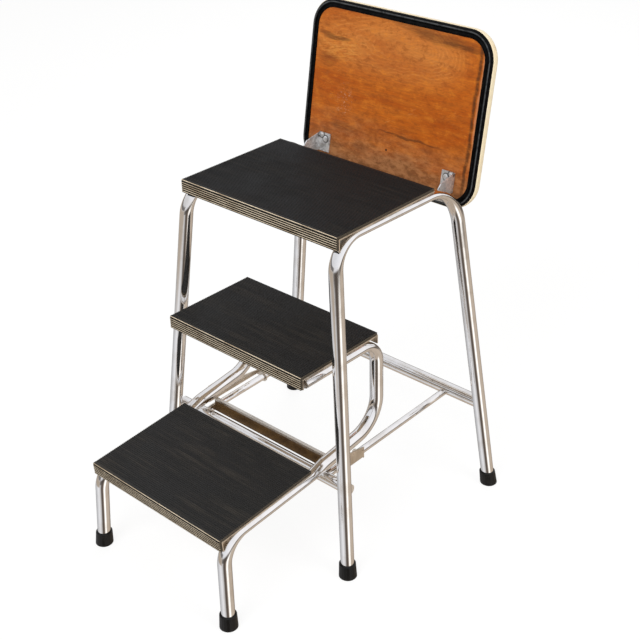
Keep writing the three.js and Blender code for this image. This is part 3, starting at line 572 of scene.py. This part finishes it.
looks = {
    "chrome": chrome_look(),
    "sheet": sheet_look(),
    "zinc": zinc_look(),
    "rubber": rubber_look(),
    "bar": bar_look(),
    "wood": wood_look(),
    "trim": trim_look(),
    "cover": cover_look(),
    "mat_top": mat_look("top", FRONT_Y, TREAD_TOP, 0, 0.0, 0.45),
    "mat_middle": mat_look("middle", MIDDLE_FRONT_Y, MIDDLE_TOP, 0, 0.7, 0.8),
    "mat_lower": mat_look("lower", LOWER_FRONT_Y, LOWER_TOP, LOWER_TILT, 1.9, 1.0),
}

look_of_node = {
    "side_frame": "chrome",
    "cross_tube": "chrome",
    "guide_rod": "chrome",
    "step_side_tube": "chrome",
    "tube_end_cap": "chrome",
    "hinge_pin": "zinc",
    "tread_pan": "sheet",
    "guide_plate": "sheet",
    "tread_mat_top": "mat_top",
    "tread_mat_middle": "mat_middle",
    "tread_mat_lower": "mat_lower",
    "foot": "rubber",
    "stretcher_bar": "bar",
    "seat_board": "wood",
    "seat_trim": "trim",
    "seat_cushion": "cover",
    "seat_bracket": "zinc",
    "bracket_rivet": "zinc",
}
for name, node in nodes.items():
    chosen = next(look for start, look in look_of_node.items() if name.startswith(start))
    for slot in node.material_slots:
        slot.material = looks[chosen]


# Shared shapes

def new_piece(name, mesh, look, body):
    piece = bpy.data.objects.new(name, mesh)
    bpy.context.scene.collection.objects.link(piece)
    piece.data.materials.clear()
    piece.data.materials.append(looks[look])
    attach(piece, body)
    return piece


def mesh_from(bm, name):
    mesh = bpy.data.meshes.new(name)
    bm.to_mesh(mesh)
    bm.free()
    return mesh


def seat_arcs(inset, tighten):
    """The four corners of the seat's outline as arcs of (across, up) points in the seat's frame."""
    half = SEAT_WIDTH / 2 - inset
    low = -SEAT_TAIL + inset
    high = SEAT_LENGTH - SEAT_TAIL - inset
    corner = max(SEAT_CORNER - inset * tighten, LEAST_CORNER)
    centres = [(half - corner, high - corner), (corner - half, high - corner)]
    centres += [(corner - half, low + corner), (half - corner, low + corner)]
    arcs = []
    for quarter, (cx, cz) in enumerate(centres):
        turns = [math.pi / 2 * (quarter + k / ARC_STEPS) for k in range(ARC_STEPS + 1)]
        arcs.append([(cx + corner * math.cos(turn), cz + corner * math.sin(turn)) for turn in turns])
    return arcs


def seat_rings(section, base, tighten=1.0):
    """The seat's outline at each (inset, depth) of a section, with its depth counted from base."""
    rings = []
    for inset, depth in section:
        deep = base + depth
        arcs = seat_arcs(inset, tighten)
        ring = []
        for arc, following in zip(arcs, arcs[1:] + arcs[:1]):
            ring += [(x, deep, z) for x, z in arc]
            last_x, last_z = arc[-1]
            next_x, next_z = following[0]
            for k in range(1, SIDE_STEPS):
                x = last_x + (next_x - last_x) * k / SIDE_STEPS
                z = last_z + (next_z - last_z) * k / SIDE_STEPS
                ring.append((x, deep, z))
        rings.append(ring)
    return rings


def ring_mesh(name, rings, closed):
    """A skin over rings of equal length, given in the seat's frame. An open one gets flat caps."""
    bm = bmesh.new()
    loops = [[bm.verts.new(seat_place @ Vector(p)) for p in ring] for ring in rings]
    spans = len(loops) if closed else len(loops) - 1
    for i in range(spans):
        a, b = loops[i], loops[(i + 1) % len(loops)]
        for k in range(len(a)):
            bm.faces.new((a[k], a[(k + 1) % len(a)], b[(k + 1) % len(b)], b[k]))
    if not closed:
        bm.faces.new(loops[0])
        bm.faces.new(list(reversed(loops[-1])))
    bmesh.ops.recalc_face_normals(bm, faces=bm.faces)
    for face in bm.faces:
        face.smooth = True
    return mesh_from(bm, name)


def eased(value, start, end):
    share = min(max((value - start) / (end - start), 0), 1)
    return share * share * (3 - 2 * share)


# Tubes

def rounded_path(corners, radii):
    """Points along straight runs joined by arcs."""
    points = [corners[0].copy()]
    for before, corner, after, radius in zip(corners, corners[1:], corners[2:], radii):
        back = (before - corner).normalized()
        ahead = (after - corner).normalized()
        opening = back.angle(ahead)
        turn = math.pi - opening
        start = corner + back * (radius / math.tan(opening / 2))
        centre = corner + (back + ahead).normalized() * (radius / math.sin(opening / 2))
        axis = ahead.cross(back).normalized()
        arm = start - centre
        # rounded first, so that a turn half way between two counts always gets the same one
        degrees = round(math.degrees(turn), 2)
        steps = max(2, round(degrees / DEGREES_PER_RING))
        points += [centre + Matrix.Rotation(turn * k / steps, 3, axis) @ arm for k in range(steps + 1)]
    points.append(corners[-1].copy())
    return points


def split_path(points):
    made = [points[0]]
    for here, there in zip(points, points[1:]):
        count = max(1, math.ceil((there - here).length / LONGEST_PIECE))
        made += [here.lerp(there, k / count) for k in range(1, count + 1)]
    return made


def tube_mesh(name, path, radius, squash=None):
    """A closed round bar along a path; squash gives its height as a share of its width."""
    bm = bmesh.new()
    loops = []
    across = None
    for i, point in enumerate(path):
        behind = path[max(i - 1, 0)]
        beyond = path[min(i + 1, len(path) - 1)]
        along = (beyond - behind).normalized()
        if across is None:
            # a tube that runs across starts its rings from above, any other from the side
            across = Vector((0, 0, 1)) if abs(along.x) > 0.7 else Vector((1, 0, 0))
        across = (across - along * across.dot(along)).normalized()
        side = along.cross(across) * (squash(point) if squash else 1)
        ring = []
        for k in range(TUBE_SIDES):
            turn = 2 * math.pi * k / TUBE_SIDES
            at = point + to_rest + across * (radius * math.cos(turn)) + side * (radius * math.sin(turn))
            ring.append(bm.verts.new(at))
        loops.append(ring)
    for a, b in zip(loops, loops[1:]):
        for k in range(TUBE_SIDES):
            following = (k + 1) % TUBE_SIDES
            bm.faces.new((a[k], a[following], b[following], b[k]))
    ends = [bm.faces.new(list(reversed(loops[0]))), bm.faces.new(loops[-1])]
    bmesh.ops.recalc_face_normals(bm, faces=bm.faces)
    for face in bm.faces:
        face.smooth = face not in ends
    for end in ends:
        for edge in end.edges:
            edge.smooth = False
    return mesh_from(bm, name)


def rail_squash(point):
    return 1 - (1 - RAIL_FLAT_SHARE) * eased(point.z, rail_z - FRAME_BENDS[0], rail_z)


def step_squash(point):
    upper = eased(point.z, top_run_z - STEP_BENDS[4], top_run_z)
    lower = eased(point.y, LEG_TOP_Y, LEG_TOP_Y + STEP_BENDS[0]) * eased(point.y, JOG_END_Y, JOG_START_Y)
    return 1 - (1 - STEP_FLAT_SHARE) * max(upper, lower if point.z < PIVOT_Z else 0)


def add_bent_tube(name, side, corners, bends, squash, body, stands_for):
    """A bent tube on one side; side is 1 on the right, where the corners are, and -1 on the left."""
    corners = [Vector((side * p.x, p.y, p.z)) for p in corners]
    path = split_path(rounded_path(corners, bends))
    piece = new_piece(name, tube_mesh(name, path, TUBE_RADIUS, squash), "chrome", body)
    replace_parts(piece, stands_for)


def add_tubes():
    """The bent and straight tubes again with finer rings than the solids have."""
    frame_corners = [
        front_foot.lerp(front_corner, TUBE_END_LIFT / rail_z),
        front_corner,
        rear_corner,
        rear_foot.lerp(rear_corner, TUBE_END_LIFT / rail_z),
    ]
    step_corners = [
        step_foot.lerp(leg_top, TUBE_END_LIFT / leg_top_z),
        leg_top,
        Vector((step_x, JOG_START_Y, jog_start_z)),
        Vector((step_x, JOG_END_Y, jog_end_z)),
        Vector((step_x, BACK_TUBE_Y, run_end_z)),
        Vector((step_x, BACK_TUBE_Y, top_run_z)),
        Vector((step_x, RUN_FRONT_Y, top_run_z)),
    ]
    for side, label in ((1, "right"), (-1, "left")):
        name = f"side_tube_{label}"
        add_bent_tube(name, side, frame_corners, FRAME_BENDS, rail_squash, "frame", f"side_frame_{label}")
        name = f"step_tube_{label}"
        stands_for = f"step_side_tube_{label}"
        add_bent_tube(name, side, step_corners, STEP_BENDS, step_squash, "step_unit", stands_for)
    for name in ("cross_tube_front", "cross_tube_rear"):
        low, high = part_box(name)
        middle = (low + high) / 2 - to_rest
        ends = [Vector((x, middle.y, middle.z)) for x in (low.x, high.x)]
        mesh = tube_mesh(f"{name}_round", split_path(ends), (high.y - low.y) / 2)
        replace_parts(new_piece(f"{name}_round", mesh, "chrome", "frame"), name)


# Seat edge and cushion

def add_trim():
    """The black edge: a round bead on a flange that laps the board, closed round it."""
    # round the web and the flange, as inset and depth from the board's face
    section = [
        (0.0086, 0.0019), (0.0122, 0.0019), (0.0122, -0.0002), (0.0136, -0.0002), (0.0136, -0.0007),
        (0.0127, -0.0011), (0.0112, -0.0012), (0.0099, -0.0008), (0.0088, -0.0001),
    ]
    first, sweep, steps = 20, 275, 14
    for k in range(steps + 1):
        turn = math.radians(first + sweep * k / steps)
        inset = BEAD_INSET + BEAD_RADIUS * (1 + math.cos(turn))
        section.append((inset, BEAD_RADIUS * (1 - math.sin(turn)) - BEAD_PROUD))
    mesh = ring_mesh("seat_piping", seat_rings(section, HINGE_TO_BOARD), True)
    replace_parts(new_piece("seat_piping", mesh, "trim", "seat"), "seat_trim")


def evaluated_copy(piece):
    graph = bpy.context.evaluated_depsgraph_get()
    return bpy.data.meshes.new_from_object(piece.evaluated_get(graph))


def blown_up(pad, held_points):
    """The pad's mesh after air pressure has swollen it as cloth, with some of its points held."""
    scene = bpy.context.scene
    held = pad.vertex_groups.new(name="held")
    held.add(held_points, 1.0, "REPLACE")
    cloth = pad.modifiers.new("air", "CLOTH")
    cloth.settings.quality = PAD_QUALITY
    cloth.settings.vertex_group_mass = "held"
    cloth.settings.use_pressure = True
    cloth.settings.uniform_pressure_force = PAD_PRESSURE
    cloth.settings.effector_weights.gravity = 0
    cloth.point_cache.frame_start = 1
    cloth.point_cache.frame_end = PAD_STEPS
    for step in range(1, PAD_STEPS + 1):
        scene.frame_set(step)
    blown = evaluated_copy(pad)
    scene.frame_set(1)
    pad.modifiers.clear()
    return blown


def swollen_pad(form, rest_plane):
    """The pad's form made even, blown up with its front held, and kept near its first form."""
    pad = bpy.data.objects.new("pad_form", form)
    bpy.context.scene.collection.objects.link(pad)
    to_seat = seat_place.inverted()
    even = pad.modifiers.new("even", "REMESH")
    even.mode = "VOXEL"
    even.voxel_size = PAD_VOXEL
    mesh = evaluated_copy(pad)
    pad.modifiers.clear()
    pad.data = mesh
    first = [v.co.copy() for v in mesh.vertices]
    on_board = [v.index for v in mesh.vertices if (to_seat @ v.co).y < rest_plane + HELD_DEPTH]
    blown = blown_up(pad, on_board)
    for vertex, before in zip(blown.vertices, first):
        moved = vertex.co - before
        depth = (to_seat @ before).y - rest_plane
        most = RIM_SWELL + CROWN_SWELL * eased(depth, RIM_DEPTH, CROWN_DEPTH)
        if moved.length > most:
            moved *= most / moved.length
        vertex.co = before + moved
        inside = to_seat @ vertex.co
        inside.y = max(inside.y, rest_plane)
        vertex.co = seat_place @ inside
    bm = bmesh.new()
    bm.from_mesh(blown)
    behind = [v for v in bm.verts if (to_seat @ v.co).y > rest_plane + SMOOTHED_DEPTH]
    for _ in range(SMOOTHING_PASSES):
        bmesh.ops.smooth_vert(bm, verts=behind, factor=0.5, use_axis_x=True, use_axis_y=True, use_axis_z=True)
    bm.to_mesh(blown)
    bm.free()
    pad.data = blown
    fine = pad.modifiers.new("fine", "SUBSURF")
    fine.levels = 1
    fine.render_levels = 1
    made = evaluated_copy(pad)
    bpy.data.objects.remove(pad)
    return made


def add_cushion():
    """The padded back of the seat, and the cover's edge that turns in behind the bead."""
    rest_plane = HINGE_TO_BOARD + BOARD_THICKNESS + PAD_REST_GAP
    # from the board to the crown, as inset and height over the board's back
    crown = [
        (0.010, 0.0), (0.0042, 0.0006), (0.0014, 0.0035), (0.0010, 0.010), (0.0032, 0.0170), (0.0090, 0.0210),
        (0.020, 0.0228), (0.036, 0.0238), (0.056, 0.0249), (0.080, 0.0256), (0.105, 0.0259),
    ]
    form = ring_mesh("pad_form", seat_rings(crown, rest_plane, CORNER_TIGHTEN_SHARE), False)
    mesh = swollen_pad(form, rest_plane)
    # round the cover's rolled edge, as inset and depth from the board's face
    rolled_edge = [
        (0.0060, 0.0157), (0.0012, 0.0152), (-0.0004, 0.0135), (-0.0011, 0.0107), (-0.0014, 0.0072),
        (-0.0014, 0.0045), (-0.0011, 0.0028), (-0.0006, 0.0021), (-0.0002, 0.0025), (-0.0001, 0.0049),
        (0.0008, 0.0067), (0.0030, 0.0077), (0.0048, 0.0099), (0.0075, 0.0117),
    ]
    edge = ring_mesh("cover_edge", seat_rings(rolled_edge, HINGE_TO_BOARD), True)
    bm = bmesh.new()
    bm.from_mesh(mesh)
    bm.from_mesh(edge)
    for face in bm.faces:
        face.smooth = True
        face.material_index = 0
    bm.to_mesh(mesh)
    bm.free()
    bpy.data.meshes.remove(edge)
    pad = new_piece("seat_pad", mesh, "cover", "seat")
    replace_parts(pad, "seat_cushion")


# Camera, stage and light

def add_camera():
    level = math.cos(ELEVATION)
    back = Vector((math.sin(AZIMUTH) * level, -math.cos(AZIMUTH) * level, math.sin(ELEVATION)))
    ahead = -back
    right = ahead.cross(Vector((0, 0, 1))).normalized()
    down = ahead.cross(right)
    rolled_right = right * math.cos(ROLL) + down * math.sin(ROLL)
    rolled_down = down * math.cos(ROLL) - right * math.sin(ROLL)
    camera = bpy.data.objects.new("camera", bpy.data.cameras.new("camera"))
    camera.data.lens = CAMERA_LENS
    camera.data.sensor_width = CAMERA_SENSOR
    axes = Matrix((rolled_right, -rolled_down, back)).transposed()
    camera.matrix_world = Matrix.Translation(CAMERA_PLACE) @ axes.to_4x4()
    bpy.context.scene.collection.objects.link(camera)
    bpy.context.scene.camera = camera


def add_floor():
    """White to the camera with a soft shadow, and a plain pale floor to all other light."""
    bm = bmesh.new()
    bmesh.ops.create_circle(bm, cap_ends=True, segments=64, radius=FLOOR_RADIUS)
    mesh = mesh_from(bm, "floor")
    floor = bpy.data.objects.new("floor", mesh)
    bpy.context.scene.collection.objects.link(floor)
    look = Look("floor_white")
    look.tree.nodes.remove(look.shader)
    path = look.node("ShaderNodeLightPath")
    seen = look.math("MAXIMUM", path.outputs["Is Camera Ray"], path.outputs["Is Glossy Ray"])
    seen = look.math("MAXIMUM", seen, path.outputs["Is Transmission Ray"])
    glow = look.node("ShaderNodeEmission", {"Color": (1, 1, 1, 1), "Strength": 0.86})
    lit = look.node("ShaderNodeBsdfDiffuse", {"Color": (0.17, 0.17, 0.17, 1)})
    pale = look.node("ShaderNodeAddShader", {0: glow.outputs[0], 1: lit.outputs[0]})
    plain = look.node("ShaderNodeBsdfDiffuse", {"Color": (0.6, 0.59, 0.57, 1)})
    both = look.node("ShaderNodeMixShader", {0: seen, 1: plain.outputs[0], 2: pale.outputs[0]})
    out = next(n for n in look.tree.nodes if n.type == "OUTPUT_MATERIAL")
    look.feed(out.inputs["Surface"], both.outputs[0])
    mesh.materials.append(look.material)
    floor.visible_glossy = False


def mirrored_room(look):
    """What metal shows: bright above, and below a pale floor with darker sides, each by direction."""
    towards = look.node("ShaderNodeTexCoord").outputs["Generated"]
    back = (math.sin(AZIMUTH), -math.cos(AZIMUTH), 0)
    right = (math.cos(AZIMUTH), math.sin(AZIMUTH), 0)
    ahead = look.node("ShaderNodeVectorMath", {0: towards, 1: back}, operation="DOT_PRODUCT")
    aside = look.node("ShaderNodeVectorMath", {0: towards, 1: right}, operation="DOT_PRODUCT")
    bearing = look.math("ARCTAN2", aside.outputs["Value"], ahead.outputs["Value"])
    turn = look.plus(look.math("DIVIDE", bearing, 2 * math.pi), 0.5)
    height = look.part(towards, 2)
    low = look.ramp(turn, [
        (0.0, (0.2, 0.18, 0.17)),
        (0.08, (0.42, 0.42, 0.43)),
        (0.2, (0.6, 0.61, 0.64)),
        (0.34, (0.95, 0.96, 1.0)),
        (0.42, (0.66, 0.65, 0.66)),
        (0.465, (0.14, 0.115, 0.095)),
        (0.525, (0.12, 0.095, 0.08)),
        (0.56, (0.46, 0.4, 0.35)),
        (0.585, (1.45, 1.42, 1.38)),
        (0.635, (1.45, 1.42, 1.38)),
        (0.665, (0.6, 0.52, 0.44)),
        (0.8, (0.6, 0.5, 0.41)),
        (0.94, (0.26, 0.21, 0.17)),
        (1.0, (0.2, 0.18, 0.17)),
    ])
    high = look.ramp(turn, [
        (0.0, (0.9, 0.91, 0.95)),
        (0.3, (0.8, 0.82, 0.87)),
        (0.5, (0.95, 0.97, 1.03)),
        (0.7, (1.1, 1.1, 1.14)),
        (1.0, (0.9, 0.91, 0.95)),
    ])
    low = look.mix(look.span(height, -0.66, -0.8), low, (0.55, 0.46, 0.38))
    # tubes that run across mirror the left side, tubes that run front to back the right side
    left = look.span(turn, 0.42, 0.36)
    low = look.mix(look.times(left, look.span(height, -0.42, -0.34)), low, (0.5, 0.43, 0.36))
    left_line = look.times(look.span(height, -0.02, 0.03), look.span(height, 0.24, 0.18))
    right_line = look.times(look.span(height, -0.3, -0.22), look.span(height, 0.02, -0.06))
    line = look.plus(look.times(left_line, left), look.times(right_line, look.span(left, 1, 0)))
    room = look.mix(look.span(height, -0.1, 0.12), low, high)
    return look.tint(room, line, 0.85, (0.1, 0.085, 0.075))


def add_world():
    """White to the camera, a studio to metal, and a soft even fill to all else."""
    world = bpy.data.worlds.new("studio")
    bpy.context.scene.world = world
    world.use_nodes = True
    look = Look("studio", world.node_tree)
    look.tree.nodes.clear()
    path = look.node("ShaderNodeLightPath")
    shown = look.node("ShaderNodeBackground", {"Color": (1, 1, 1, 1), "Strength": 1.0})
    room = look.node("ShaderNodeBackground", {"Color": mirrored_room(look), "Strength": 1.0})
    fill = look.node("ShaderNodeBackground", {"Color": (1, 0.99, 0.97, 1), "Strength": 0.5})
    glossy = path.outputs["Is Glossy Ray"]
    unseen = look.node("ShaderNodeMixShader", {0: glossy, 1: fill.outputs[0], 2: room.outputs[0]})
    seen = look.math("MAXIMUM", path.outputs["Is Camera Ray"], path.outputs["Is Transmission Ray"])
    both = look.node("ShaderNodeMixShader", {0: seen, 1: unseen.outputs[0], 2: shown.outputs[0]})
    out = look.node("ShaderNodeOutputWorld")
    look.feed(out.inputs["Surface"], both.outputs[0])


def add_lamp(name, place, target, size, power):
    lamp = bpy.data.objects.new(name, bpy.data.lights.new(name, "AREA"))
    lamp.data.shape = "DISK"
    lamp.data.size = size
    lamp.data.energy = power
    lamp.location = place
    lamp.rotation_euler = (Vector(target) - Vector(place)).to_track_quat("-Z", "Y").to_euler()
    lamp.visible_glossy = False
    bpy.context.scene.collection.objects.link(lamp)


add_tubes()
add_trim()
add_cushion()
add_camera()
add_floor()
add_world()
add_lamp("key", place=(0.4, -2.6, 2.6), target=(0, 0, 0.35), size=2.2, power=60)
add_lamp("side", place=(2.8, 0.2, 1.8), target=(0, 0, 0.4), size=1.8, power=32)
add_lamp("rear", place=(-1.6, 2.4, 2.2), target=(0, 0, 0.4), size=1.8, power=22)

bpy.context.scene.view_settings.view_transform = "Standard"
